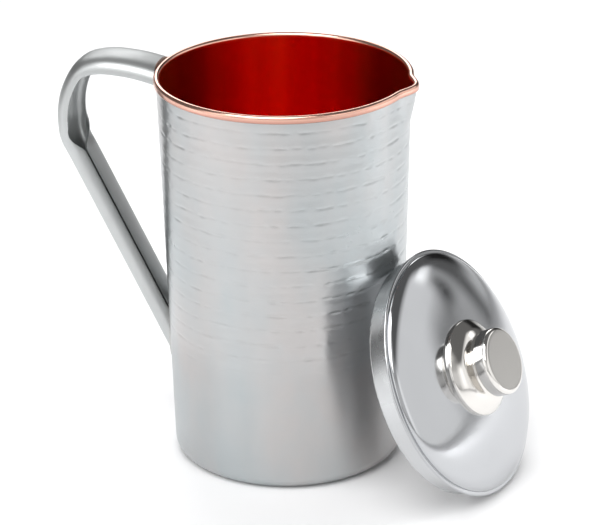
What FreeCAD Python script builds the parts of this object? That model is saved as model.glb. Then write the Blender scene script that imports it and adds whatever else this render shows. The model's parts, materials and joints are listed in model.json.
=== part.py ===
import FreeCAD, Part

import math
import os

from FreeCAD import Vector

# A lidded water jug: a copper liner inside a hammered steel shell, with a folded sheet handle and a lid
# that stands on its edge and leans on the shell. Millimetres, +Z up. The origin is on the floor, on the
# jug's axis. The spout points along +X and the handle along -X.

# --- driving dimensions: the jug ---
jug_height = 184.0          # floor to the top of the rim
mouth_radius = 56.2         # inside the copper, at the rim
foot_radius = 53.3          # the shell's outer cone, carried down to the floor
steel_sheet = 0.5
copper_sheet = 0.5
wall_gap = 0.6              # air between shell and liner
rim_width = 2.85            # the rolled copper rim, across
rim_height = 3.6
rim_curl = 0.9              # radius that the rim's loose edge is rolled to
rim_grip = 2.2              # how far the shell's edge stands inside the rolled rim
foot_corner = 6.0           # outside radius where the wall turns into the base
foot_ring = 6.0             # width of the flat ring that the jug stands on
base_recess = 1.6           # how far the middle of the base is pressed up
recess_slope = 2.4          # horizontal run of the recess's sloping side

# --- driving dimensions: the spout ---
spout_reach = 3.6           # how far the lip is pulled out
spout_half_angle = 18.0     # degrees, from the lip to where the rim is round again
spout_depth = 24.0          # height of wall that the pull reaches down
spout_pinch = 2.0           # how strongly the rim draws in on both sides of the lip
spout_sections = 13

# --- driving dimensions: the handle ---
handle_sheet = 0.9
grip_width = 26.0           # open channel, across
grip_depth = 7.0            # open channel, from its back to its lips
tail_width = 20.0           # closed tail, across
tail_depth = 11.2
tail_seam = 4.0             # degrees, half of the seam's opening in the closed tail
tail_wrap = 40.0            # degrees, how far the seam lies from the middle of the tail's inner side
crown_rise = 3.6            # the handle's highest point above the rim
crown_reach = 21.5          # the highest point, out from the rim
crown_radius = 90.0
grip_bends = ((37.6, 18.3), (14.8, 37.6), (42.5, 34.1))   # outside radius and degrees of each bend, in order
tail_bend = 47.5            # outside radius of the bend into the straight tail
tail_angle = 26.7           # degrees, the tail off the vertical
fold_length = 18.0          # over which the lips close, ending with the tail bend
weld_size = 1.2
join_tolerance = 1e-4       # for faces that are the same but for rounding
joint_gap = 0.05            # between the strip's cut ends and what they are welded to

# --- driving dimensions: the lid ---
lid_radius = 57.4
lid_sheet = 0.5
hem_width = 1.8             # flat edge outside the dome
skirt_clearance = 1.4       # between skirt and mouth, all round
skirt_depth = 10.0
skirt_curl = 2.0            # radius of the skirt's lower edge
dome_rise = 9.0             # above the hem
collar_radius = 22.3
collar_height = 7.8
neck_radius = 12.6
neck_height = 2.4
knob_sheet = 0.8
neck_corner = 0.3           # inside radius where the collar's neck turns in
button_radius = 15.4
button_height = 7.2
button_edge = 1.8
knob_gap = 0.3              # round the pieces that drop inside the knob
stud_radius = 2.5
stud_clearance = 0.2
stud_head_radius = 8.0
stud_head_height = 1.6
stud_tip = 1.2              # thread past the nut
washer_radius = 6.0
washer_thickness = 1.0
nut_across_flats = 8.0
nut_height = 4.0

# --- driving dimensions: how the lid stands ---
lean_tilt = 25.0            # degrees, the lid's face off the vertical
lean_direction = -12.5      # degrees about +Z from the spout
lean_gap = 0.35             # between the lid and the shell

# --- sizes that follow from those ---
rim_radius = mouth_radius + rim_width
rim_bottom = jug_height - rim_height
rim_round = rim_width / 2
wall = copper_sheet + wall_gap + steel_sheet
taper = (mouth_radius + wall - foot_radius) / rim_bottom
shell_top = rim_bottom + rim_grip
spout_foot = rim_bottom - spout_depth
liner_floor = base_recess + steel_sheet
hem_thickness = 3 * lid_sheet


# ---------------------------------------------------------------- drawing helpers

def at(radius, z):
    """A point of a half profile, in the plane that is turned about Z."""
    return Vector(radius, 0, z)


def ray(centre, radius, degrees):
    """A point on a circle in the profile plane, counted from +X towards +Z."""
    t = math.radians(degrees)
    return centre + Vector(radius * math.cos(t), 0, radius * math.sin(t))


def arc(centre, radius, start, end):
    return Part.Arc(*[ray(centre, radius, t) for t in (start, (start + end) / 2, end)]).toShape()


def curve(points):
    """A smooth curve through points."""
    spline = Part.BSplineCurve()
    spline.interpolate(points)
    return spline.toShape()


def inside_of(edge, depth):
    """The curve that far to the left of another one in the profile plane, drawn the other way."""
    points = []
    for k in range(9):
        t = edge.getParameterByLength(edge.Length * k / 8)
        ahead = edge.tangentAt(t)
        points.append(edge.valueAt(t) + Vector(-ahead.z, 0, ahead.x) * depth)
    return curve(points[::-1])


def rounded(corner, before, after, radius):
    """The arc that rounds a corner between two straight runs."""
    a = (before - corner).normalize()
    b = (after - corner).normalize()
    half = a.getAngle(b) / 2
    centre = corner + (a + b).normalize() * (radius / math.sin(half))
    middle = centre + (corner - centre).normalize() * radius
    reach = radius / math.tan(half)
    return Part.Arc(corner + a * reach, middle, corner + b * reach).toShape()


def chain(pieces, closed=False):
    """A wire through curves and points in order, with straight edges wherever two of them don't meet."""
    edges = []
    first = None
    pen = None
    for piece in list(pieces) + ([None] if closed else []):
        if piece is None:
            start = end = first
        elif isinstance(piece, Vector):
            start = end = piece
        else:
            start = piece.valueAt(piece.FirstParameter)
            end = piece.valueAt(piece.LastParameter)
        if first is None:
            first = start
        if pen is not None and pen.distanceToPoint(start) > 1e-7:
            edges.append(Part.makeLine(pen, start))
        if piece is not None and not isinstance(piece, Vector):
            edges.append(piece)
        pen = end
    return Part.Wire(edges)


def turn_face(face):
    return face.revolve(Vector(0, 0, 0), Vector(0, 0, 1), 360)


def turned(pieces):
    """A full turn of a closed half profile."""
    return turn_face(Part.Face(chain(pieces, closed=True)))


def ring(inner, outer, bottom, top):
    """A flat-ended ring about Z."""
    tube = Part.makeCylinder(outer, top - bottom, Vector(0, 0, bottom))
    return tube.cut(Part.makeCylinder(inner, top - bottom + 2, Vector(0, 0, bottom - 1)))


# ---------------------------------------------------------------- the jug's two skins

def shell_radius(z):
    """Outside radius of the shell's cone at height z."""
    return foot_radius + taper * z


def pull(angle, z):
    """How far the spout draws the wall out, at an angle from the lip and a height."""
    aside = min(1.0, abs(angle) / spout_half_angle)
    across = math.cos(math.pi * aside / 2) ** 2 * (1 - spout_pinch * aside * aside)
    up = min(1.0, max(0.0, (z - spout_foot) / spout_depth))
    return spout_reach * across * up * up * (3 - 2 * up)


def wall_curve(depth, angle):
    """One face of the wall from the spout's foot up to the rim, that deep under the shell's outside."""
    heights = [spout_foot + spout_depth * k / 8 for k in range(9)]
    return curve([at(shell_radius(z) - depth + pull(angle, z), z) for z in heights])


def backwards(edge, shift=Vector(0, 0, 0)):
    """The same curve drawn the other way, moved aside if asked."""
    points = [p + shift for p in edge.discretize(9)]
    return curve(points[::-1])


def shell_rim_section(angle):
    out = pull(angle, rim_bottom)
    edge = shell_radius(shell_top) + out
    outside = wall_curve(0, angle)
    inside = backwards(wall_curve(steel_sheet, angle))
    top = [at(edge, shell_top), at(edge - steel_sheet, shell_top)]
    return chain([outside] + top + [inside], closed=True)


def liner_rim_section(angle):
    out = pull(angle, rim_bottom)
    inner = mouth_radius + out
    outer = rim_radius + out
    crown = at(inner + rim_round, jug_height - rim_round)
    curl = at(outer - rim_curl, rim_bottom + rim_curl)
    inside = wall_curve(wall, angle)
    outside = backwards(wall_curve(wall - copper_sheet, angle))
    roll = [
        arc(crown, rim_round, 180, 0),
        arc(curl, rim_curl, 0, -100),
        arc(curl, rim_curl - copper_sheet, -100, 0),
        arc(crown, rim_round - copper_sheet, 0, 180),
    ]
    return chain([inside] + roll + [outside], closed=True)


def spouted(section, below):
    """A skin: its lower part, the round rim behind the spout, and the spout lofted through its sections."""
    start = section(spout_half_angle)
    start.rotate(Vector(0, 0, 0), Vector(0, 0, 1), spout_half_angle)
    round_part = Part.Face(start).revolve(Vector(0, 0, 0), Vector(0, 0, 1), 360 - 2 * spout_half_angle)
    slices = []
    for k in range(spout_sections):
        angle = spout_half_angle * (2 * k / (spout_sections - 1) - 1)
        cut = section(angle)
        cut.rotate(Vector(0, 0, 0), Vector(0, 0, 1), angle)
        slices.append(cut)
    spout = Part.makeLoft(slices, True, False)
    return below.fuse([round_part, spout], join_tolerance).Solids[0]


def outer_shell():
    """Pressed steel: a recessed base, a tapered wall and the pulled spout."""
    ring_outer = foot_radius - foot_corner
    ring_inner = ring_outer - foot_ring
    dish = ring_inner - recess_slope
    foot = at(foot_radius, 0)
    lip = at(shell_radius(spout_foot), spout_foot)
    heel = at(ring_inner, 0)
    knee = at(dish, base_recess)
    lift = Vector(0, 0, steel_sheet)
    inner_foot = at(shell_radius(steel_sheet) - steel_sheet, steel_sheet)
    inner_lip = at(shell_radius(spout_foot) - steel_sheet, spout_foot)
    below = turned([
        at(0, base_recess),
        knee,
        heel,
        rounded(foot, heel, lip, foot_corner),
        lip,
        inner_lip,
        rounded(inner_foot, inner_lip, heel + lift, foot_corner - steel_sheet),
        heel + lift,
        knee + lift,
        at(0, base_recess + steel_sheet),
    ])
    return spouted(shell_rim_section, below)


def copper_liner():
    """The copper cup that holds the water, rolled over the shell's edge at the rim."""
    top = liner_floor + copper_sheet
    inner_low = at(shell_radius(top) - wall, top)
    outer_low = at(shell_radius(liner_floor) - wall + copper_sheet, liner_floor)
    inner_high = at(shell_radius(spout_foot) - wall, spout_foot)
    outer_high = at(shell_radius(spout_foot) - wall + copper_sheet, spout_foot)
    below = turned([
        at(0, liner_floor),
        rounded(outer_low, at(0, liner_floor), outer_high, foot_corner - wall_gap),
        outer_high,
        inner_high,
        rounded(inner_low, inner_high, at(0, top), foot_corner - wall_gap - copper_sheet),
        at(0, top),
    ])
    return spouted(liner_rim_section, below)


# ---------------------------------------------------------------- the handle

def handle_path():
    """The line along the handle's back, from the rim to the straight tail: position and heading."""
    heading = math.degrees(math.asin(crown_reach / crown_radius))
    radius = rim_radius
    z = jug_height + crown_rise - crown_radius * (1 - math.cos(math.radians(heading)))
    bends = [(crown_radius, heading)] + list(grip_bends) + [(tail_bend, tail_angle)]
    stations = [(radius, z, heading)]
    for bend, swing in bends:
        steps = max(3, math.ceil(swing * bend * math.pi / 180 / 4.0))
        for k in range(steps):
            half = math.radians(swing / steps / 2)
            chord = 2 * bend * math.sin(half)
            middle = math.radians(heading) - half
            radius += chord * math.cos(middle)
            z += chord * math.sin(middle)
            heading -= swing / steps
            stations.append((radius, z, heading))
    return stations


def handle_section(station, folded, grow=0.0):
    """The strip's cross-section at a station: half an oval when open (folded 0), closed to a tube at 1.
    With a growth it is the outline of the whole oval instead, that much larger."""
    radius, z, heading = station
    turn = math.radians(heading)
    back = Vector(-radius, 0, z)
    inward = Vector(-math.sin(turn), 0, -math.cos(turn))
    across = Vector(0, 1, 0)
    half_width = (grip_width + (tail_width - grip_width) * folded - handle_sheet) / 2
    power = 2 / (2.8 - 0.4 * folded)
    opening = 90 + (tail_seam - 90) * folded
    reach = math.radians(180 if grow else 180 - opening)
    wrap = math.radians(0 if grow else tail_wrap * folded)
    room = grip_depth + (tail_depth - grip_depth) * folded - handle_sheet / 2 * (1 + folded)
    half_depth = room / (1 + abs(math.cos(min(math.pi, reach + wrap))) ** power)

    def middle(t):
        side = math.copysign(abs(math.sin(t)) ** power, math.sin(t)) * half_width
        deep = half_depth - math.copysign(abs(math.cos(t)) ** power, math.cos(t)) * half_depth
        return side, deep + handle_sheet / 2

    def skin(offset):
        points = []
        for k in range(25):
            t = reach * (k / 12 - 1) + wrap
            side, deep = middle(t)
            ahead = middle(t + 1e-4)
            behind = middle(t - 1e-4)
            slope = math.hypot(ahead[0] - behind[0], ahead[1] - behind[1])
            side += (ahead[1] - behind[1]) / slope * offset
            deep -= (ahead[0] - behind[0]) / slope * offset
            points.append(back + across * side + inward * deep)
        return points

    outer = skin(handle_sheet / 2 + grow)
    if grow:
        loop = Part.BSplineCurve()
        loop.interpolate(outer[:-1], PeriodicFlag=True)
        return Part.Wire([loop.toShape()])
    return chain([curve(outer), curve(skin(-handle_sheet / 2)[::-1])], closed=True)


def folded_at(distance):
    """How far the lips have closed, from the distance past the place where they start to."""
    share = min(1.0, max(0.0, distance / fold_length))
    return share * share * (3 - 2 * share)


def run_of(station, length):
    """The step along a station's heading."""
    turn = math.radians(station[2])
    return Vector(-math.cos(turn), 0, math.sin(turn)) * length


def tail_beyond(face, end):
    """The tail's section carried straight on from its last station into the jug."""
    return face.extrude(run_of(end, (end[0] - foot_radius + tail_depth) / math.sin(math.radians(tail_angle))))


def cone_of(grow):
    """The shell's outside as one solid cone, that much larger."""
    return Part.makeCone(foot_radius + grow, shell_radius(jug_height) + grow, jug_height)


def handle_strip():
    """One strip, open round the grip and folded to a flat tube down the tail, trimmed to the jug."""
    stations = handle_path()
    travelled = [0.0]
    for a, b in zip(stations, stations[1:]):
        travelled.append(travelled[-1] + math.hypot(b[0] - a[0], b[1] - a[1]))
    folds = [folded_at(t - travelled[-1] + fold_length) for t in travelled]
    wires = [handle_section(s, f) for s, f in zip(stations, folds)]
    start = Part.Face(wires[0]).extrude(run_of(stations[0], -rim_width))
    tail = tail_beyond(Part.Face(wires[-1]), stations[-1])
    start = start.cut(Part.makeCylinder(rim_radius + joint_gap, 2 * jug_height))
    tail = tail.cut(cone_of(joint_gap))
    grip = Part.makeLoft(wires, True, False)
    return largest(start).fuse([grip, largest(tail)], join_tolerance).Solids[0]


def handle_foot_weld(handle):
    """The bead of weld round the tail's slanted end."""
    end = handle_path()[-1]
    thick = tail_beyond(Part.Face(handle_section(end, 1.0, weld_size)), end)
    hollow = tail_beyond(Part.Face(handle_section(end, 1.0, -handle_sheet / 2)), end)
    return largest(thick.common(cone_of(weld_size)).cut(cone_of(0)).cut(handle).cut(hollow))


def handle_rim_weld(handle):
    """The run of weld under the strip's end, against the rolled rim."""
    bottom = rim_bottom + rim_curl / 3
    ceiling = handle_path()[0][1] - handle_sheet / 2
    width = grip_width - 8
    layer = ring(rim_radius, rim_radius + weld_size, bottom, ceiling)
    slot = Part.makeBox(rim_radius, width, rim_height, Vector(-2 * rim_radius, -width / 2, rim_bottom))
    return largest(layer.common(slot).cut(handle))


def largest(shape):
    return max(shape.Solids, key=lambda solid: solid.Volume)


# ---------------------------------------------------------------- the lid, flat, resting at z = 0

plug_radius = mouth_radius - skirt_clearance
crease = lid_radius - hem_width
land_radius = washer_radius + 1.0
hole_radius = stud_radius + stud_clearance


def dome_height(radius):
    """Top of the lid's dome at a radius: half an ellipse over the flat edge."""
    return hem_thickness + dome_rise * math.sqrt(1 - (radius / crease) ** 2)


land = dome_height(land_radius)
neck_top = dome_height(collar_radius) + collar_height + neck_height
plate_bottom = neck_top
cap_bottom = plate_bottom - knob_sheet
cap_top = cap_bottom + button_height
plate_radius = button_radius - knob_sheet - knob_gap


def lid_cover():
    """Domed sheet with its edge folded back under the skirt's flange."""
    t = lid_sheet
    fold = at(lid_radius - hem_thickness / 2, hem_thickness / 2)
    start = math.asin(land_radius / crease)

    def dome(under):
        points = [at(land_radius, land - under)]
        for k in range(1, 17):
            turn = start + (math.pi / 2 - start) * k / 16
            high = hem_thickness - under + dome_rise * math.cos(turn)
            points.append(at((crease - under) * math.sin(turn), high))
        return points

    return turned([
        at(hole_radius, land),
        curve(dome(0)),
        arc(fold, hem_thickness / 2, 90, -90),
        at(plug_radius + t, 0),
        at(plug_radius + t, t),
        arc(fold, hem_thickness / 2 - t, -90, 90),
        curve(dome(t)[::-1]),
        at(hole_radius, land - t),
    ])


def lid_skirt():
    """The band that drops into the mouth, with a flange held in the cover's fold and a curled lower edge."""
    t = lid_sheet
    curl = at(plug_radius - skirt_curl, skirt_curl - skirt_depth)
    flange = lid_radius - hem_thickness / 2
    return turned([
        at(plug_radius - t, 2 * t),
        arc(curl, skirt_curl - t, 0, -75),
        arc(curl, skirt_curl, -75, 0),
        at(plug_radius, t),
        at(flange, t),
        at(flange, 2 * t),
    ])


def knob_collar():
    """The bell-shaped sheet between the lid and the button."""
    base = dome_height(collar_radius - knob_sheet)
    neck = base + collar_height
    bell = [
        at(collar_radius, base + knob_sheet),
        at(collar_radius - 0.6, base + collar_height * 0.28),
        at((collar_radius + neck_radius) / 2 + 0.6, base + collar_height * 0.66),
        at(neck_radius + 1.3, base + collar_height * 0.88),
        at(neck_radius, neck + 0.6),
        at(neck_radius, neck + 0.9),
    ]
    corner = at(neck_radius, neck_top)
    over = at(hole_radius, neck_top)
    t = knob_sheet
    side = curve(bell)
    turn_in = rounded(corner, bell[-1], over, t + neck_corner)
    turn_back = rounded(corner + Vector(-t, 0, -t), over, bell[-1] - Vector(t, 0, 0), neck_corner)
    return turned([
        at(collar_radius, base),
        side,
        turn_in,
        over,
        over - Vector(0, 0, t),
        turn_back,
        inside_of(side, t),
        at(collar_radius - t, base),
    ])


def knob_cap():
    """The button: one pressed cap with its edge turned in under the plate."""
    low = at(button_radius, cap_bottom)
    high = at(button_radius, cap_top)
    lip = at(neck_radius + knob_gap, cap_bottom)
    centre = at(0, cap_top)
    outside = chain([
        lip,
        rounded(low, lip, high, button_edge / 2),
        rounded(high, low, centre, button_edge),
        centre,
    ])
    return turn_face(outside.makeOffset2D(knob_sheet, 0, True, True, False))


def knob_plate():
    return ring(hole_radius, plate_radius, plate_bottom, plate_bottom + knob_sheet)
def knob_stud():
    """The stud that holds the knob on, its head inside the button."""
    head = plate_bottom + knob_sheet
    end = land - lid_sheet - washer_thickness - nut_height - stud_tip
    return turned([
        at(0, end),
        at(stud_radius, end),
        at(stud_radius, head),
        at(stud_head_radius, head),
        at(stud_head_radius, head + stud_head_height),
        at(0, head + stud_head_height),
    ])


def knob_washer():
    top = land - lid_sheet
    return ring(hole_radius, washer_radius, top - washer_thickness, top)


def knob_nut():
    top = land - lid_sheet - washer_thickness
    corners = [Vector(math.cos(math.pi * k / 3), math.sin(math.pi * k / 3), 0) for k in range(7)]
    outline = Part.makePolygon([c * (nut_across_flats / math.sqrt(3)) for c in corners])
    prism = Part.Face(outline).extrude(Vector(0, 0, nut_height))
    prism.translate(Vector(0, 0, top - nut_height))
    return prism.cut(Part.makeCylinder(stud_radius, nut_height * 3, Vector(0, 0, top - 2 * nut_height)))


# ---------------------------------------------------------------- the lid, stood up against the shell

def lean(shape):
    """Stand a lid piece on the skirt's edge, with the skirt's upper edge on the shell."""
    tilt = math.radians(lean_tilt)
    across = plug_radius - skirt_curl
    deep = skirt_depth - skirt_curl
    height = across * math.cos(tilt) + deep * math.sin(tilt) + skirt_curl
    contact = height + across * math.cos(tilt) - deep * math.sin(tilt)
    out = shell_radius(contact) + skirt_curl + lean_gap + across * math.sin(tilt) + deep * math.cos(tilt)
    placed = shape.copy()
    placed.rotate(Vector(0, 0, 0), Vector(0, 1, 0), 90 - lean_tilt)
    placed.translate(Vector(out, 0, height))
    placed.rotate(Vector(0, 0, 0), Vector(0, 0, 1), lean_direction)
    return placed


handle = handle_strip()
pieces = {
    "outer_shell": outer_shell(),
    "copper_liner": copper_liner(),
    "handle": handle,
    "handle_rim_weld": handle_rim_weld(handle),
    "handle_foot_weld": handle_foot_weld(handle),
    "lid_cover": lean(lid_cover()),
    "lid_skirt": lean(lid_skirt()),
    "knob_collar": lean(knob_collar()),
    "knob_plate": lean(knob_plate()),
    "knob_cap": lean(knob_cap()),
    "knob_stud": lean(knob_stud()),
    "knob_washer": lean(knob_washer()),
    "knob_nut": lean(knob_nut()),
}

os.makedirs("parts", exist_ok=True)
for name, shape in pieces.items():
    solid = largest(shape)
    solid.exportStep(f"parts/{name}.step")
    print(name, "valid" if solid.isValid() else "NOT VALID", len(shape.Solids), "solid", round(solid.Volume))
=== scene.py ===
import json
import math

import bmesh
import bpy
import numpy as np
from mathutils import Matrix, Vector


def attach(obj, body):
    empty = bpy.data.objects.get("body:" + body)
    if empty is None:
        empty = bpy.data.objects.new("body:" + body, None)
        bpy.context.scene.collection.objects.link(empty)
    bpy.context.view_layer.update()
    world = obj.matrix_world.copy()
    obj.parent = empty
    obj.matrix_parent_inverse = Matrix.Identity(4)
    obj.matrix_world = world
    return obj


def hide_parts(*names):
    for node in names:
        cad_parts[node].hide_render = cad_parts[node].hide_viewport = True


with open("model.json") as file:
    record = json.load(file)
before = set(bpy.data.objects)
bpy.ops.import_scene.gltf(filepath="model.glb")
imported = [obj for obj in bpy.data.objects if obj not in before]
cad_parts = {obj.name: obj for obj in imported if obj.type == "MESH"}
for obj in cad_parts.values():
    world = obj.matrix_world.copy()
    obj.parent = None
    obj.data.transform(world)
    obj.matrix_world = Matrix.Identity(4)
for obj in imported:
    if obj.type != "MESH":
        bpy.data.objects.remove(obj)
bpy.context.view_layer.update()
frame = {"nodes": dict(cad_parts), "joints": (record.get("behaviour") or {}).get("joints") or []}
mm = 0.001


def surface(name, grid, closeRows=False, smoothAngle=38):
    # grid is rows x columns x 3 in millimetres, and the columns always run round in a ring.
    # Faces join neighbouring rows and columns; a row of equal points becomes one pole point.
    rows, cols = grid.shape[:2]
    index = np.arange(rows * cols).reshape(rows, cols)
    lower = index if closeRows else index[:-1]
    upper = np.roll(index, -1, axis=0) if closeRows else index[1:]
    return makeMesh(name, grid, ringQuads(lower, upper), smoothAngle)


def ringQuads(lower, upper):
    # The faces between two ring rows of point numbers, or between many pairs of them.
    quads = np.stack([lower, np.roll(lower, -1, axis=1), np.roll(upper, -1, axis=1), upper], axis=-1)
    return quads.reshape(-1, 4)


def makeMesh(name, grid, faces, smoothAngle):
    # Points in metres, doubled points joined, faces outward, and edges sharper than the angle left sharp.
    mesh = bpy.data.meshes.new(name)
    mesh.from_pydata((grid.reshape(-1, 3) * mm).tolist(), [], faces.tolist())
    work = bmesh.new()
    work.from_mesh(mesh)
    bmesh.ops.remove_doubles(work, verts=work.verts, dist=1e-7)
    bmesh.ops.dissolve_degenerate(work, edges=work.edges, dist=1e-8)
    bmesh.ops.delete(work, geom=[e for e in work.edges if not e.link_faces], context="EDGES")
    bmesh.ops.recalc_face_normals(work, faces=work.faces)
    work.to_mesh(mesh)
    work.free()
    mesh.shade_smooth()
    mesh.set_sharp_from_angle(angle=math.radians(smoothAngle))
    piece = bpy.data.objects.new(name, mesh)
    bpy.context.scene.collection.objects.link(piece)
    return piece


def corners(points, radii, step=0.5):
    # A run through corner points, each rounded by an arc of its radius that touches both straight runs.
    pts = np.array(points, float)
    run = [pts[:1]]
    for k in range(1, len(pts) - 1):
        a, c, b = pts[k - 1], pts[k], pts[k + 1]
        if radii[k] <= 0:
            run.append(c[None])
            continue
        ua, ub = (a - c) / np.linalg.norm(a - c), (b - c) / np.linalg.norm(b - c)
        half = math.acos(float(np.clip(ua @ ub, -1, 1))) / 2
        centre = c + (ua + ub) / np.linalg.norm(ua + ub) * radii[k] / math.sin(half)
        start, end = c + ua * radii[k] / math.tan(half), c + ub * radii[k] / math.tan(half)
        t0 = math.atan2(start[1] - centre[1], start[0] - centre[0])
        t1 = math.atan2(end[1] - centre[1], end[0] - centre[0])
        sweep = (t1 - t0 + math.pi) % (2 * math.pi) - math.pi
        count = max(4, int(abs(sweep) * radii[k] / step) + 1)
        t = t0 + sweep * np.linspace(0, 1, count + 1)
        run.append(centre + radii[k] * np.stack([np.cos(t), np.sin(t)], axis=-1))
    run.append(pts[-1:])
    return np.concatenate(run)


def arcRun(centre, radius, start, end, count=10):
    t = np.radians(np.linspace(start, end, count + 1))
    return np.array(centre) + radius * np.stack([np.cos(t), np.sin(t)], axis=-1)


def smoothStep(share):
    # From 0 to 1, level at both ends.
    return share * share * (3 - 2 * share)


def densify(run, step):
    # Points added along each straight stretch so that none is longer than the step.
    pieces = []
    for a, b in zip(run[:-1], run[1:]):
        count = max(1, int(math.ceil(np.linalg.norm(b - a) / step)))
        pieces.append(a + (b - a) * (np.arange(count) / count)[:, None])
    return np.concatenate(pieces + [run[-1:]])


def revolve(run, columns):
    # Every point of the profile (radius, height) carried round the Z axis.
    t = np.arange(columns) * 2 * math.pi / columns
    r, z = run[:, 0][:, None], run[:, 1][:, None]
    return np.stack([r * np.cos(t), r * np.sin(t), z + 0 * t], axis=-1)


class Value:
    # A socket that adds its own Math nodes when it is used in an expression.
    def __init__(self, finish, socket):
        self.finish = finish
        self.socket = socket

    def join(self, kind, first, second):
        return self.finish.node("ShaderNodeMath", {"operation": kind}, {0: first, 1: second})

    def __add__(self, other):
        return self.join("ADD", self, other)

    def __radd__(self, other):
        return self.join("ADD", other, self)

    def __sub__(self, other):
        return self.join("SUBTRACT", self, other)

    def __rsub__(self, other):
        return self.join("SUBTRACT", other, self)

    def __mul__(self, other):
        return self.join("MULTIPLY", self, other)

    def __rmul__(self, other):
        return self.join("MULTIPLY", other, self)


class Finish:
    # One material or world and the nodes that make it.
    def __init__(self, name, tree=None):
        if tree is None:
            self.material = bpy.data.materials.new(name)
            self.material.use_nodes = True
            tree = self.material.node_tree
        self.tree = tree
        self.tree.nodes.clear()

    def node(self, kind, settings, sockets, out=0):
        # Every node is made here: its type, its settings, and each socket's value or the Value linked to it.
        made = self.tree.nodes.new(kind)
        for key, value in settings.items():
            setattr(made, key, value)
        for key, value in sockets.items():
            if isinstance(value, Value):
                self.tree.links.new(value.socket, made.inputs[key])
            else:
                made.inputs[key].default_value = value
        return Value(self, made.outputs[out]) if made.outputs else None

    def place(self, scale=(1, 1, 1), turn=(0, 0, 0)):
        # Where a point is on the object, stretched and turned for a pattern.
        spot = self.node("ShaderNodeTexCoord", {}, {}, out="Object")
        return self.node("ShaderNodeMapping", {}, {"Vector": spot, "Scale": scale, "Rotation": turn})

    def split(self, axis):
        return self.node("ShaderNodeSeparateXYZ", {}, {0: self.place()}, out=axis)

    def noise(self, vector, scale, detail=2.0, rough=0.5, distortion=0.0):
        return self.node("ShaderNodeTexNoise", {}, {"Vector": vector, "Scale": scale, "Detail": detail,
                                                    "Roughness": rough, "Distortion": distortion})

    def span(self, value, low, high, newLow=0.0, newHigh=1.0):
        ends = {0: value, 1: low, 2: high, 3: newLow, 4: newHigh}
        return self.node("ShaderNodeMapRange", {"clamp": True}, ends)

    def mix(self, factor, first, second):
        first = first if isinstance(first, Value) else (*first, 1)
        second = second if isinstance(second, Value) else (*second, 1)
        return self.node("ShaderNodeMix", {"data_type": "RGBA"}, {0: factor, 6: first, 7: second}, out=2)

    def bump(self, height, distance, strength, onto=None):
        sockets = {"Height": height, "Distance": distance, "Strength": strength}
        if onto is not None:
            sockets["Normal"] = onto
        return self.node("ShaderNodeBump", {}, sockets)

    def metal(self, colour, roughness, normal, stretch=0.0):
        # Stretch draws reflections out upright, as brush lines round a wall do.
        sockets = {"Base Color": colour, "Roughness": roughness, "Metallic": 1.0, "Normal": normal,
                   "Anisotropic": stretch, "Anisotropic Rotation": 0.25}
        shader = self.node("ShaderNodeBsdfPrincipled", {}, sockets)
        self.node("ShaderNodeOutputMaterial", {}, {"Surface": shader})
        return self.material


jug = {
    "height": 184.0, "mouth": 56.2, "foot": 53.3, "middle": 55.0,
    "steel": 0.5, "copper": 0.5, "gap": 0.6,
    "rimWidth": 2.85, "rimHeight": 3.6, "rimCurl": 0.9, "rimGrip": 2.2,
    "footCorner": 6.0, "footRing": 6.0, "recess": 1.6, "recessSlope": 2.4,
    "shellColumns": 292, "cupColumns": 384,
}
jug["rimBottom"] = jug["height"] - jug["rimHeight"]
jug["wall"] = jug["steel"] + jug["gap"] + jug["copper"]
jug["taper"] = (jug["mouth"] + jug["wall"] - jug["foot"]) / jug["rimBottom"]
jug["floor"] = jug["recess"] + jug["steel"]
spout = {"reach": 3.6, "halfAngle": 18.0, "depth": 24.0, "pinch": 2.0}


def shellRadius(z):
    return jug["foot"] + jug["taper"] * z


def pull(angle, z):
    # A bump round +X that rises towards the rim: cosine squared across, narrowed, and a smooth step up.
    across = np.minimum(1, np.abs(angle) / spout["halfAngle"])
    up = np.clip((z - jug["rimBottom"] + spout["depth"]) / spout["depth"], 0, 1)
    shape = np.cos(math.pi / 2 * across) ** 2 * (1 - spout["pinch"] * across ** 2)
    return spout["reach"] * shape * smoothStep(up)


def spouted(run, columns, crowd):
    # The profile turned round Z, each point moved outwards by the spout's pull at its angle and height.
    # The columns crowd together near the spout.
    u = np.arange(columns) * 2 * math.pi / columns
    t = u - crowd * np.sin(u)
    r, z = run[:, 0][:, None], run[:, 1][:, None]
    angle = np.degrees((t + math.pi) % (2 * math.pi) - math.pi)
    out = np.where(r > 1, pull(angle[None], z), 0)
    return np.stack([(r + out) * np.cos(t), (r + out) * np.sin(t), z + 0 * t], axis=-1)


hammer = {
    "lowest": 58.0, "highest": 176.0, "pitch": 7.35, "perRow": 58,
    "dashLength": 4.4, "dashHeight": 1.5, "dashDepth": 0.26,
    "bandDepth": 0.16, "wobble": 0.10, "tilt": 0.10, "seed": 11, "ease": 0.3,
}


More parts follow.
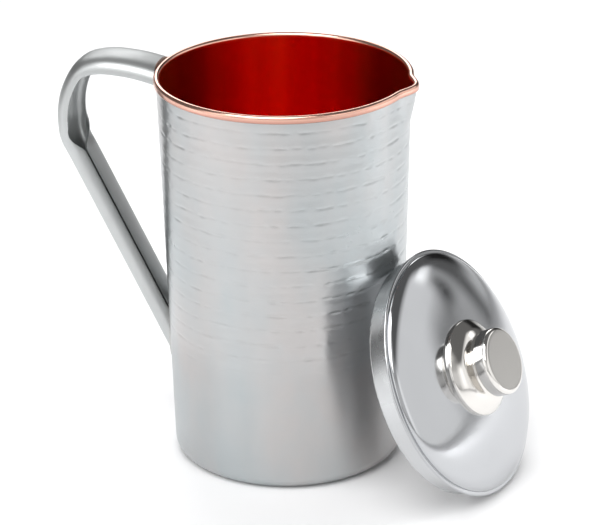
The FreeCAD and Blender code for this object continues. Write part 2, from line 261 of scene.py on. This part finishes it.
def hammerDepth(theta, z):
    # How deep the wall is beaten in: rows of short level dashes with uneven places, lengths and depths,
    # a shallow hollow between each two rows that tips a little from blow to blow, and a slow waviness.
    random = np.random.default_rng(hammer["seed"])
    rows = int(round((hammer["highest"] - hammer["lowest"]) / hammer["pitch"])) + 1
    n = hammer["perRow"]
    shift = random.uniform(0, 1, rows)
    place = random.uniform(-0.28, 0.28, (rows, n))
    lift = random.uniform(-0.35, 0.35, (rows, n))
    long = random.uniform(0.55, 1.35, (rows, n))
    deep = random.uniform(0.35, 1.25, (rows, n))
    swell = random.uniform(0.3, 1.0, (rows, n))
    row = (hammer["highest"] - z) / hammer["pitch"]
    near = np.clip(np.round(row), 0, rows - 1).astype(int)
    cell = theta / (2 * math.pi) * n
    depth = np.zeros(np.broadcast(theta, z).shape)
    for side in (-1, 0, 1):
        column = np.floor(cell + shift[near]) + side
        k = column.astype(int) % n
        across = (cell + shift[near] - column - 0.5 - place[near, k]) * 2 * math.pi / n * jug["middle"]
        up = z - (hammer["highest"] - near * hammer["pitch"]) - lift[near, k]
        dash = np.abs(across / (hammer["dashLength"] / 2 * long[near, k])) ** 3
        dash = dash + np.abs(up / (hammer["dashHeight"] / 2)) ** 2
        depth = depth + hammer["dashDepth"] * deep[near, k] * np.exp(-dash)
    below = np.clip(np.floor(row), 0, rows - 1).astype(int)
    blow = cell * 0.5 + shift[below]
    first = np.floor(blow).astype(int)
    share = smoothStep(blow - first)
    size = swell[below, first % n] * (1 - share) + swell[below, (first + 1) % n] * share
    hollow = np.sin(math.pi * row) ** 2 * size
    tipped = np.sin(2 * math.pi * row) * (size - 0.65)
    slow = np.sin(theta * 9 + z * 0.11) * np.sin(z * 0.23 - theta * 5) + 0.6 * np.sin(theta * 17 - z * 0.31)
    depth = depth + hammer["bandDepth"] * hollow + hammer["tilt"] * tipped
    depth = depth + hammer["wobble"] * 0.5 * (1 + slow / 1.6)
    fade = np.clip((z - hammer["lowest"] + 3) / 9, 0, 1) * np.clip((hammer["highest"] + 2.5 - z) / 2.5, 0, 1)
    return np.maximum(depth, 0) * smoothStep(fade)


def makeShell():
    # A pressed cup of one thickness: up the outside from the middle of the base, then back down the inside.
    # The outside is pushed in by hammerDepth, and the inside is eased in behind the beaten band.
    top = jug["rimBottom"] + jug["rimGrip"]
    t = jug["steel"]
    ringOuter = jug["foot"] - jug["footCorner"]
    ringInner = ringOuter - jug["footRing"]
    dish = ringInner - jug["recessSlope"]
    outside = corners([(0, jug["recess"]), (dish, jug["recess"]), (ringInner, 0), (jug["foot"], 0),
                       (shellRadius(top), top)], [0, 0.6, 0.6, jug["footCorner"], 0])
    inside = corners([(shellRadius(top) - t, top), (shellRadius(t) - t, t), (ringInner, t),
                      (dish, jug["recess"] + t), (0, jug["recess"] + t)],
                     [0, jug["footCorner"] - t, 0, 0, 0])
    # Rows of points stand close where the dashes are and wider between them.
    rowZ = np.arange(hammer["highest"], hammer["lowest"] - 4, -hammer["pitch"])
    near = np.array([-1.3, -1.0, -0.7, -0.4, -0.1, 0.2, 0.5, 0.8, 1.1, 1.5, 2.4, 3.3, 4.2, 5.1])
    z = np.sort((rowZ[:, None] + near).ravel())
    low = np.arange(outside[-2, 1], z[0], 4.0)
    z = np.concatenate([low, z[z < top - 0.8], [top - 0.5, top]])
    outside = np.concatenate([outside[:-2], np.stack([shellRadius(z), z], axis=-1)])
    wallRows = slice(len(outside) - len(z), len(outside))
    inner = densify(inside[:2], 6)
    high = inner[:, 1]
    band = np.clip((high - hammer["lowest"]) / 8, 0, 1) * np.clip((hammer["highest"] - high) / 5, 0, 1)
    inner[:, 0] -= hammer["ease"] * band
    run = np.concatenate([outside, inner, inside[2:]])
    grid = spouted(run, jug["shellColumns"], 0.25)
    part = grid[wallRows]
    theta = np.arctan2(part[..., 1], part[..., 0])
    radius = np.hypot(part[..., 0], part[..., 1])
    beaten = (radius - hammerDepth(theta % (2 * math.pi), part[..., 2])) / radius
    part[..., :2] *= beaten[..., None]
    return surface("hammered_shell", grid)


def makeLiner():
    # The copper cup and its rolled rim in one sheet: up the inside, over the rim, under its curl, and back.
    out = jug["mouth"] + jug["rimWidth"]
    crown = (out - jug["rimWidth"] / 2, jug["height"] - jug["rimWidth"] / 2)
    curl = (out - jug["rimCurl"], jug["rimBottom"] + jug["rimCurl"])
    t = jug["copper"]
    floor = jug["floor"]
    foot = jug["footCorner"] - jug["gap"]
    wall = jug["wall"]
    inside = corners([(0, floor + t), (shellRadius(floor + t) - wall, floor + t),
                      (jug["mouth"], jug["rimBottom"])], [0, foot - t, 0])
    outside = corners([(jug["mouth"] + t, jug["rimBottom"]),
                       (shellRadius(floor) - wall + t, floor), (0, floor)], [0, foot, 0])
    inside = np.concatenate([inside[:-2], densify(inside[-2:], 3)])
    outside = np.concatenate([densify(outside[:2], 3), outside[2:]])
    roll = [arcRun(crown, jug["rimWidth"] / 2, 180, 0, 18), arcRun(curl, jug["rimCurl"], 0, -100, 8),
            arcRun(curl, jug["rimCurl"] - t, -100, 0, 6), arcRun(crown, jug["rimWidth"] / 2 - t, 0, 180, 10)]
    run = np.concatenate([inside] + roll + [outside])
    return surface("copper_cup", spouted(run, jug["cupColumns"], 0.55))


grip = {
    "sheet": 0.9, "gripWidth": 26.0, "gripDepth": 7.0,
    "tailWidth": 20.0, "tailDepth": 11.2, "seam": 4.0, "wrap": 40.0,
    "crownRise": 3.6, "crownReach": 21.5, "crownRadius": 90.0,
    "bends": ((37.6, 18.3), (14.8, 37.6), (42.5, 34.1), (47.5, 26.7)),
    "foldLength": 18.0, "step": 0.8, "endGap": 0.05,
}


def handleLine():
    # The handle's back as tangent arcs, walked out from the rim: radius, height, heading, distance.
    heading = math.degrees(math.asin(grip["crownReach"] / grip["crownRadius"]))
    r = jug["mouth"] + jug["rimWidth"]
    z = jug["height"] + grip["crownRise"] - grip["crownRadius"] * (1 - math.cos(math.radians(heading)))
    line = [(r, z, heading, 0.0)]
    for bend, swing in ((grip["crownRadius"], heading),) + grip["bends"]:
        count = max(3, math.ceil(math.radians(swing) * bend / grip["step"]))
        t = math.radians(heading) - math.radians(swing) * np.arange(1, count + 1) / count
        t0 = math.radians(heading)
        rs = r + bend * (math.sin(t0) - np.sin(t))
        zs = z - bend * (math.cos(t0) - np.cos(t))
        s = line[-1][3] + bend * (t0 - t)
        line += list(zip(rs, zs, np.degrees(t), s))
        r, z, heading = line[-1][:3]
    return np.array(line)


def makeHandle():
    # One strip: half an oval where it is held, its lips closing to a flat tube down the straight tail,
    # with the seam to one side of the tail's inner face.
    line = handleLine()
    r, z, heading, s = line.T
    share = np.clip((s - s[-1] + grip["foldLength"]) / grip["foldLength"], 0, 1)
    folded = smoothStep(share)[:, None]
    half = grip["sheet"] / 2
    width = (grip["gripWidth"] + (grip["tailWidth"] - grip["gripWidth"]) * folded) / 2 - half
    power = 2 / (2.8 - 0.4 * folded)
    reach = np.radians(180 - (90 + (grip["seam"] - 90) * folded))
    wrap = np.radians(grip["wrap"] * folded)
    room = grip["gripDepth"] + (grip["tailDepth"] - grip["gripDepth"]) * folded - half * (1 + folded)
    depth = room / (1 + np.abs(np.cos(np.minimum(np.pi, reach + wrap))) ** power)
    count = 40
    u = np.linspace(-1, 1, 2 * count + 1)[None]

    def middle(t):
        side = np.sign(np.sin(t)) * np.abs(np.sin(t)) ** power * width
        deep = depth - np.sign(np.cos(t)) * np.abs(np.cos(t)) ** power * depth
        return side, deep + half

    def skin(offset):
        t = reach * u + wrap
        side, deep = middle(t)
        ahead, behind = middle(t + 1e-4), middle(t - 1e-4)
        a, b = ahead[0] - behind[0], ahead[1] - behind[1]
        slope = np.hypot(a, b)
        return side + b / slope * offset, deep - a / slope * offset

    outer, inner = skin(half), skin(-half)
    side = np.concatenate([outer[0], inner[0][:, ::-1]], axis=1)
    deep = np.concatenate([outer[1], inner[1][:, ::-1]], axis=1)
    turn = np.radians(heading)[:, None]
    x = -(r[:, None] + np.sin(turn) * deep)
    height = z[:, None] - np.cos(turn) * deep
    grid = np.stack([x, side, height], axis=-1)
    first, last = grid[0], grid[-1]
    # The strip's ends stop just short of what they are welded to.
    rim = jug["mouth"] + jug["rimWidth"] + grip["endGap"]
    startX = -np.sqrt(rim ** 2 - first[:, 1] ** 2)
    slope = math.tan(math.radians(heading[0]))
    start = np.stack([startX, first[:, 1], first[:, 2] + slope * (first[:, 0] - startX)], axis=-1)
    # The tail runs straight on to the cone: solve for the run length at which the radius meets the shell's.
    d = np.array([-math.cos(turn[-1, 0]), 0, math.sin(turn[-1, 0])])
    k = jug["taper"]
    base = jug["foot"] + grip["endGap"] + k * last[:, 2]
    qa = d[0] ** 2 - (k * d[2]) ** 2
    qb = 2 * (last[:, 0] * d[0] - base * k * d[2])
    qc = last[:, 0] ** 2 + last[:, 1] ** 2 - base ** 2
    run = (-qb - np.sqrt(qb ** 2 - 4 * qa * qc)) / (2 * qa)
    tail = last[None] + np.linspace(0, 1, 60)[1:, None, None] * run[None, :, None] * d
    grid = np.concatenate([start[None], grid[1:] if abs(start[0, 0]) > abs(first[0, 0]) else grid, tail])
    return capStrips("folded_handle", grid, 2 * count + 1)


def capStrips(name, grid, half):
    # A ring grid whose two ends are closed by a strip of faces between its outer and inner halves.
    rows, cols = grid.shape[:2]
    index = np.arange(rows * cols).reshape(rows, cols)
    caps = []
    for row in (index[0], index[-1]):
        outer, inner = row[:half], row[half:][::-1]
        caps.append(np.stack([outer[:-1], outer[1:], inner[1:], inner[:-1]], axis=-1))
    faces = np.concatenate([ringQuads(index[:-1], index[1:])] + caps)
    return makeMesh(name, grid, faces, 40)


lid = {
    "radius": 57.4, "sheet": 0.5, "hem": 1.8, "plug": 54.8, "depth": 10.0, "curl": 2.0,
    "domeRise": 9.0, "land": 7.0, "hole": 2.7, "leanGap": 0.35, "columns": 256,
}
lid["edge"] = 3 * lid["sheet"]
lid["crease"] = lid["radius"] - lid["hem"]
knob = {
    "base": 22.3, "bellHeight": 7.8, "neck": 12.6, "neckHeight": 2.4, "neckCorner": 0.3, "sheet": 0.8,
    "button": 15.4, "buttonHeight": 7.2, "buttonEdge": 1.8, "gap": 0.3, "columns": 192,
}


def leaning():
    # The lid's own axes at rest: Z along the lift joint's axis, the centre where the skirt stands and leans.
    axis = Vector(frame["joints"][0]["axis"]).normalized()
    tilt = math.asin(axis.z)
    across, deep = lid["plug"] - lid["curl"], lid["depth"] - lid["curl"]
    height = across * math.cos(tilt) + deep * math.sin(tilt) + lid["curl"]
    contact = height + across * math.cos(tilt) - deep * math.sin(tilt)
    out = shellRadius(contact) + lid["curl"] + lid["leanGap"]
    out += across * math.sin(tilt) + deep * math.cos(tilt)
    turn = math.atan2(axis.y, axis.x)
    return (Matrix.Rotation(turn, 4, "Z") @ Matrix.Translation((out * mm, 0, height * mm))
            @ Matrix.Rotation(math.pi / 2 - tilt, 4, "Y"))


def leant(piece):
    piece.data.transform(leaning())
    return piece


def domeHeight(r):
    return lid["edge"] + lid["domeRise"] * np.sqrt(1 - (r / lid["crease"]) ** 2)


def makeLidCover():
    # A flat land in the middle, half an ellipse down to a narrow flat edge, and the edge folded right under.
    t = lid["sheet"]
    start = math.asin(lid["land"] / lid["crease"])
    q = start + (math.pi / 2 - start) * np.linspace(0, 1, 60)

    def dome(under):
        side = (lid["crease"] - under) * np.sin(q)
        return np.stack([side, lid["edge"] - under + lid["domeRise"] * np.cos(q)], axis=-1)

    fold = (lid["radius"] - lid["edge"] / 2, lid["edge"] / 2)
    run = np.concatenate([
        [(lid["hole"], domeHeight(lid["land"]))], dome(0), arcRun(fold, lid["edge"] / 2, 90, -90, 12),
        [(lid["plug"] + t, 0), (lid["plug"] + t, t)], arcRun(fold, lid["edge"] / 2 - t, -90, 90, 6),
        dome(t)[::-1], [(lid["hole"], domeHeight(lid["land"]) - t)],
    ])
    return leant(surface("lid_dome", revolve(run, lid["columns"]), closeRows=True))


def makeLidSkirt():
    # The band that drops into the mouth, its flange held in the cover's fold and its lower edge curled in.
    t = lid["sheet"]
    centre = (lid["plug"] - lid["curl"], lid["curl"] - lid["depth"])
    flange = lid["radius"] - lid["edge"] / 2
    run = np.concatenate([
        [(lid["plug"] - t, 2 * t)], arcRun(centre, lid["curl"] - t, 0, -75, 8),
        arcRun(centre, lid["curl"], -75, 0, 10), [(lid["plug"], t), (flange, t), (flange, 2 * t)],
    ])
    return leant(surface("lid_band", revolve(run, lid["columns"]), closeRows=True))


def bell(base):
    # A smooth bell from the collar's foot up to its neck, through five heights, eased by a cubic curve.
    h = knob["bellHeight"]
    marks = np.array([(knob["base"], base), (knob["base"], base + knob["sheet"]),
                      (knob["base"] - 0.6, base + h * 0.28),
                      ((knob["base"] + knob["neck"]) / 2 + 0.6, base + h * 0.66),
                      (knob["neck"] + 1.3, base + h * 0.88), (knob["neck"], base + h + 0.6),
                      (knob["neck"], base + h + 0.9)])
    padded = np.concatenate([marks[:1], marks, marks[-1:]])
    p0, p1, p2, p3 = padded[:-3, None], padded[1:-2, None], padded[2:-1, None], padded[3:, None]
    t = np.linspace(0, 1, 9)[:-1][None, :, None]
    smooth = 0.5 * (2 * p1 + (p2 - p0) * t + (2 * p0 - 5 * p1 + 4 * p2 - p3) * t ** 2
                    + (3 * p1 - p0 - 3 * p2 + p3) * t ** 3)
    return np.concatenate([smooth.reshape(-1, 2), marks[-1:]])


def inset(run, depth):
    # The same run moved to its left by a sheet's thickness, drawn the other way.
    ahead = np.gradient(run, axis=0)
    ahead /= np.linalg.norm(ahead, axis=1)[:, None]
    return (run + np.stack([-ahead[:, 1], ahead[:, 0]], axis=-1) * depth)[::-1]


def makeCollar():
    # The bell and its turned-in top, one sheet.
    t = knob["sheet"]
    base = float(domeHeight(knob["base"] - t))
    top = float(domeHeight(knob["base"])) + knob["bellHeight"] + knob["neckHeight"]
    outer = bell(base)
    outer = np.concatenate([outer, corners([outer[-1], (knob["neck"], top), (lid["hole"], top)],
                                           [0, t + knob["neckCorner"], 0])[1:]])
    back = inset(outer, t)
    back[0] = (lid["hole"], top - t)
    back[-1] = (knob["base"] - t, base)
    run = np.concatenate([outer, back])
    return leant(surface("knob_bell", revolve(run, knob["columns"]), closeRows=True))


def makeButton():
    # A pressed cap: lip, rounded lower edge, side, rounded upper edge, and a very slightly crowned top.
    t = knob["sheet"]
    low = float(domeHeight(knob["base"])) + knob["bellHeight"] + knob["neckHeight"] - t
    high = low + knob["buttonHeight"]
    edge, small = knob["buttonEdge"], knob["buttonEdge"] / 2
    lip = knob["neck"] + knob["gap"]
    side = knob["button"]
    outer = corners([(lip, low), (side, low), (side, high), (0, high)], [0, small, edge, 0], step=0.2)
    inner = corners([(0, high - t), (side - t, high - t), (side - t, low + t), (lip, low + t)],
                    [0, edge - t, 0.1, 0], step=0.2)
    outer = np.concatenate([outer[:-1], densify(outer[-2:], 1.5)[1:]])
    run = np.concatenate([outer, inner])
    return leant(surface("knob_button", revolve(run, knob["columns"]), closeRows=True))


steel = {"colour": (0.50, 0.515, 0.52), "cool": (0.46, 0.49, 0.50), "warm": (0.53, 0.515, 0.51),
         "polish": 0.30, "brushed": 0.38, "stretch": 0.75}


def shellFinish():
    # Beaten steel, smoother above and brushed below, with a faint cool and warm cast and level brush lines.
    f = Finish("hammered_steel")
    cast = f.noise(f.place((1, 1, 0.45)), 26.0, 3.0)
    tint = f.mix(f.span(cast, 0.38, 0.62), steel["cool"], steel["warm"])
    colour = f.mix(f.span(f.noise(f.place(), 90.0), 0.45, 0.7, 0.0, 0.35), tint, steel["colour"])
    plain = f.span(f.split("Z"), (hammer["lowest"] + 9) * mm, (hammer["lowest"] - 4) * mm)
    brush = f.noise(f.place((1, 1, 46)), 30.0, 4.0, 0.65)
    scuff = f.noise(f.place(), 420.0, 3.0, 0.6)
    rough = steel["polish"] + plain * (steel["brushed"] - steel["polish"]) + (scuff - 0.5) * 0.07
    grain = f.bump(scuff, 0.00003, 0.12, f.bump(brush, 0.00010, 0.22))
    return f.metal(colour, rough + (cast - 0.5) * 0.10, grain, steel["stretch"])


# Copper colours: the rim, a darker brown painted shade for the rim's underside, the inside's red, and a
# darker red for painted reflection streaks inside.
copper = {"rim": (0.82, 0.49, 0.39), "paintedRimShade": (0.48, 0.25, 0.20), "deep": (0.998, 0.42, 0.10),
          "paintedDarkStreak": (0.94, 0.10, 0.04)}


def copperFinish():
    # Polished copper: pale and pinkish on the rolled rim, redder inside, with soft upright wipe marks in the
    # gloss.
    # Painted shade darkens the rim's underside, and painted reflection streaks lighten and darken the colour
    # inside.
    f = Finish("copper")
    x, y, z = f.split("X"), f.split("Y"), f.split("Z")
    square = ((jug["mouth"] + 0.3) * mm) ** 2
    within = f.span(x * x + y * y, square * 1.03, square)
    inside = within * f.span(z, (jug["height"] - 0.9) * mm, (jug["height"] - 3.2) * mm)
    # Painted shade: the outside of the rolled rim turns darker and browner towards its underside.
    under = f.span(z, (jug["height"] - 1.5) * mm, (jug["height"] - 2.7) * mm, 0.0, 0.8)
    wipesAndPaintedStreaks = f.noise(f.place((1, 1, 0.05)), 48.0, 3.0, 0.55)
    # Painted reflection: inside the cup this noise draws upright streaks of lighter and darker red that
    # stand in for reflected light; in the roughness and bump it makes real wipe marks.
    deep = f.mix(f.span(wipesAndPaintedStreaks, 0.40, 0.62, 0.85, 0.0), copper["deep"], copper["paintedDarkStreak"])
    colour = f.mix(inside, f.mix(under, copper["rim"], copper["paintedRimShade"]), deep)
    rough = 0.20 - inside * 0.08 + (wipesAndPaintedStreaks - 0.5) * 0.12
    return f.metal(colour, rough, f.bump(wipesAndPaintedStreaks, 0.00012, 0.35))


def satinFinish(name, colour, rough):
    # Satin steel rubbed along the strip, with small dull patches.
    f = Finish(name)
    rub = f.noise(f.place((1.2, 14, 1.2)), 60.0, 4.0, 0.6)
    patch = f.noise(f.place(), 45.0, 3.0)
    tone = f.mix(f.span(patch, 0.4, 0.7, 0.0, 0.5), colour, tuple(c * 0.86 for c in colour))
    return f.metal(tone, rough + (patch - 0.5) * 0.16 + (rub - 0.5) * 0.10, f.bump(rub, 0.00010, 0.3))


def polishedFinish(name, colour, rough):
    # Mirror-polished steel with faint haze, finger smears and hairline scratches.
    f = Finish(name)
    haze = f.noise(f.place(), 38.0, 3.0)
    smear = f.noise(f.place(turn=(0.4, 0.9, 0.2)), 140.0, 4.0, 0.7, 0.6)
    hair = f.noise(f.place((1, 9, 1), (0.3, 0.5, 0.9)), 300.0, 2.0)
    tone = f.mix(f.span(haze, 0.35, 0.7, 0.0, 0.4), colour, tuple(c * 0.93 for c in colour))
    gloss = rough + f.span(haze, 0.4, 0.75, 0.0, 0.06) + f.span(smear, 0.55, 0.8, 0.0, 0.05)
    return f.metal(tone, gloss, f.bump(hair, 0.00003, 0.12))


def plainFinish(name, colour, rough):
    # Bare turned or ground steel with a fine grain.
    f = Finish(name)
    grain = f.noise(f.place(), 900.0, 3.0, 0.6)
    tone = f.mix(f.span(grain, 0.3, 0.7, 0.0, 0.5), colour, tuple(c * 0.75 for c in colour))
    return f.metal(tone, rough + (grain - 0.5) * 0.2, f.bump(grain, 0.00006, 0.5))


def dress(piece, material):
    piece.data.materials.clear()
    piece.data.materials.append(material)


shell = makeShell()
dress(shell, shellFinish())
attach(shell, "jug")
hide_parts("outer_shell")
print("shell made")

cup = makeLiner()
dress(cup, copperFinish())
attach(cup, "jug")
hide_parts("copper_liner")
print("copper cup made")

handle = makeHandle()
dress(handle, satinFinish("satin_steel", (0.53, 0.545, 0.545), 0.42))
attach(handle, "jug")
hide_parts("handle")
print("handle made")

mirror = polishedFinish("polished_steel", (0.52, 0.53, 0.545), 0.08)
softMirror = polishedFinish("band_steel", (0.62, 0.63, 0.64), 0.24)
knobMirror = polishedFinish("knob_steel", (0.77, 0.75, 0.72), 0.08)
for make, node, material, finish in ((makeLidCover, "lid_cover", mirror, "polished_steel"),
                                     (makeLidSkirt, "lid_skirt", softMirror, "polished_steel"),
                                     (makeCollar, "knob_collar", knobMirror, "knob_steel"),
                                     (makeButton, "knob_cap", knobMirror, "knob_steel")):
    piece = make()
    dress(piece, material)
    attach(piece, "lid")
    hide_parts(node)
    print(node, "made")

weld = plainFinish("ground_weld", (0.58, 0.58, 0.57), 0.42)
turned = plainFinish("plain_steel", (0.62, 0.62, 0.62), 0.34)
for node, material in (("handle_rim_weld", weld), ("handle_foot_weld", weld), ("knob_plate", turned),
                       ("knob_stud", turned), ("knob_washer", turned), ("knob_nut", turned)):
    dress(frame["nodes"][node], material)
print("small steel pieces dressed")


studio = {
    "lens": 177.9, "distance": 1.4248, "turn": 16.0, "rise": 22.84, "roll": -0.71,
    "shiftRight": 0.00685, "shiftUp": 0.0838,
    "floor": (0.84, 0.84, 0.845), "ambient": 0.15,
}
# Bright and dark patches of the studio, in degrees: azimuth from the camera's side, rise, half width,
# half height and softness, then brightness.
patches = (
    (-60.0, 8.0, 14.0, 26.0, 7.0, 1.5),
    (-28.0, 12.0, 3.0, 18.0, 3.0, 1.6),
    (0.0, 18.0, 50.0, 18.0, 9.0, 0.60),
    (82.0, 12.0, 42.0, 24.0, 5.0, 0.92),
    (115.0, 6.0, 6.0, 6.0, 3.0, -0.70),
    (123.0, 24.0, 5.0, 4.0, 2.0, 1.0),
    (121.0, 13.0, 2.0, 4.0, 2.0, -0.75),
    (146.0, 1.0, 14.0, 4.0, 3.0, 0.6),
    (152.0, 15.0, 14.0, 9.0, 4.0, -0.13),
    (186.0, 25.0, 14.0, 9.0, 5.0, 3.4),
    (-20.0, 60.0, 60.0, 16.0, 10.0, 0.6),
)


def makeFloor():
    # A wide flat sheet under everything, a hair below the foot ring.
    mesh = bpy.data.meshes.new("floor")
    w = 6.0
    low = -0.0002
    mesh.from_pydata([(-w, -w, low), (w, -w, low), (w, w, low), (-w, w, low)], [], [(0, 1, 2, 3)])
    floor = bpy.data.objects.new("floor", mesh)
    bpy.context.scene.collection.objects.link(floor)
    f = Finish("pale_floor")
    pale = f.node("ShaderNodeBsdfPrincipled", {}, {"Base Color": (*studio["floor"], 1), "Roughness": 0.9})
    f.node("ShaderNodeOutputMaterial", {}, {"Surface": pale})
    mesh.materials.append(f.material)


def makeWorld():
    # A studio seen in every direction: an even grey with soft bright and dark patches.
    world = bpy.data.worlds.new("studio")
    world.use_nodes = True
    bpy.context.scene.world = world
    sky = Finish("studio", world.node_tree)
    look = sky.node("ShaderNodeTexCoord", {}, {}, out="Generated")
    x, y, z = (sky.node("ShaderNodeSeparateXYZ", {}, {0: look}, out=k) for k in range(3))
    turned = sky.node("ShaderNodeMath", {"operation": "ARCTAN2"}, {0: x, 1: y * -1}) * (180 / math.pi)
    height = sky.node("ShaderNodeMath", {"operation": "ARCSINE"}, {0: z}) * (180 / math.pi)
    total = studio["ambient"]
    for azimuth, lift, wide, tall, soft, bright in patches:
        past = turned - azimuth - studio["turn"]
        away = sky.node("ShaderNodeMath", {"operation": "PINGPONG"}, {0: past, 1: 180.0})
        above = sky.node("ShaderNodeMath", {"operation": "ABSOLUTE"}, {0: height - lift})
        inside = sky.span(away, wide + soft, wide - soft) * sky.span(above, tall + soft, tall - soft)
        total = inside * bright + total
    glow = sky.node("ShaderNodeBackground", {}, {"Color": (1, 1, 1, 1), "Strength": total})
    sky.node("ShaderNodeOutputWorld", {}, {"Surface": glow})


def softbox(name, place, aim, size, power, mirrored=False):
    lamp = bpy.data.lights.new(name, "AREA")
    lamp.shape = "RECTANGLE"
    lamp.size, lamp.size_y = size
    lamp.energy = power
    holder = bpy.data.objects.new(name, lamp)
    holder.location = place
    holder.visible_glossy = mirrored  # most boxes light the floor and don't show in the metal
    holder.rotation_euler = (Vector(aim) - Vector(place)).to_track_quat("-Z", "Y").to_euler()
    bpy.context.scene.collection.objects.link(holder)


def around(azimuth, rise, distance):
    # A place around the jug: azimuth from the camera's side, positive to its right, and height as an angle.
    a = math.radians(studio["turn"] + azimuth)
    e = math.radians(rise)
    flat = distance * math.cos(e)
    return (flat * math.sin(a), -flat * math.cos(a), distance * math.sin(e))


makeFloor()
makeWorld()
base, body = (0, 0, 0), (0, 0, 0.06)
softbox("front", around(-25, 62, 1.5), base, (1.2, 1.2), 16, mirrored=True)
softbox("behind", around(175, 58, 1.1), base, (0.9, 0.6), 6)
softbox("left", around(-80, 22, 0.8), body, (0.25, 0.5), 1.6)
softbox("right", around(92, 22, 0.8), body, (0.2, 0.5), 2.4)

turn, rise, roll = (math.radians(studio[k]) for k in ("turn", "rise", "roll"))
towards = Vector((math.sin(turn) * math.cos(rise), -math.cos(turn) * math.cos(rise), math.sin(rise)))
right = Vector((math.cos(turn), math.sin(turn), 0))
up = towards.cross(right)
leanRight = right * math.cos(roll) + up * math.sin(roll)
leanUp = up * math.cos(roll) - right * math.sin(roll)
target = leanRight * studio["shiftRight"] + leanUp * studio["shiftUp"]
lens = bpy.data.cameras.new("camera")
lens.lens = studio["lens"]
lens.sensor_width = 36.0
lens.clip_end = 50
camera = bpy.data.objects.new("camera", lens)
place = target + towards * studio["distance"]
camera.matrix_world = Matrix.Translation(place) @ Matrix((leanRight, leanUp, towards)).transposed().to_4x4()
bpy.context.scene.collection.objects.link(camera)
bpy.context.scene.camera = camera
bpy.context.scene.view_settings.view_transform = "Standard"
bpy.context.scene.cycles.glossy_bounces = 12  # light goes back and forth many times inside the cup
print("studio set")
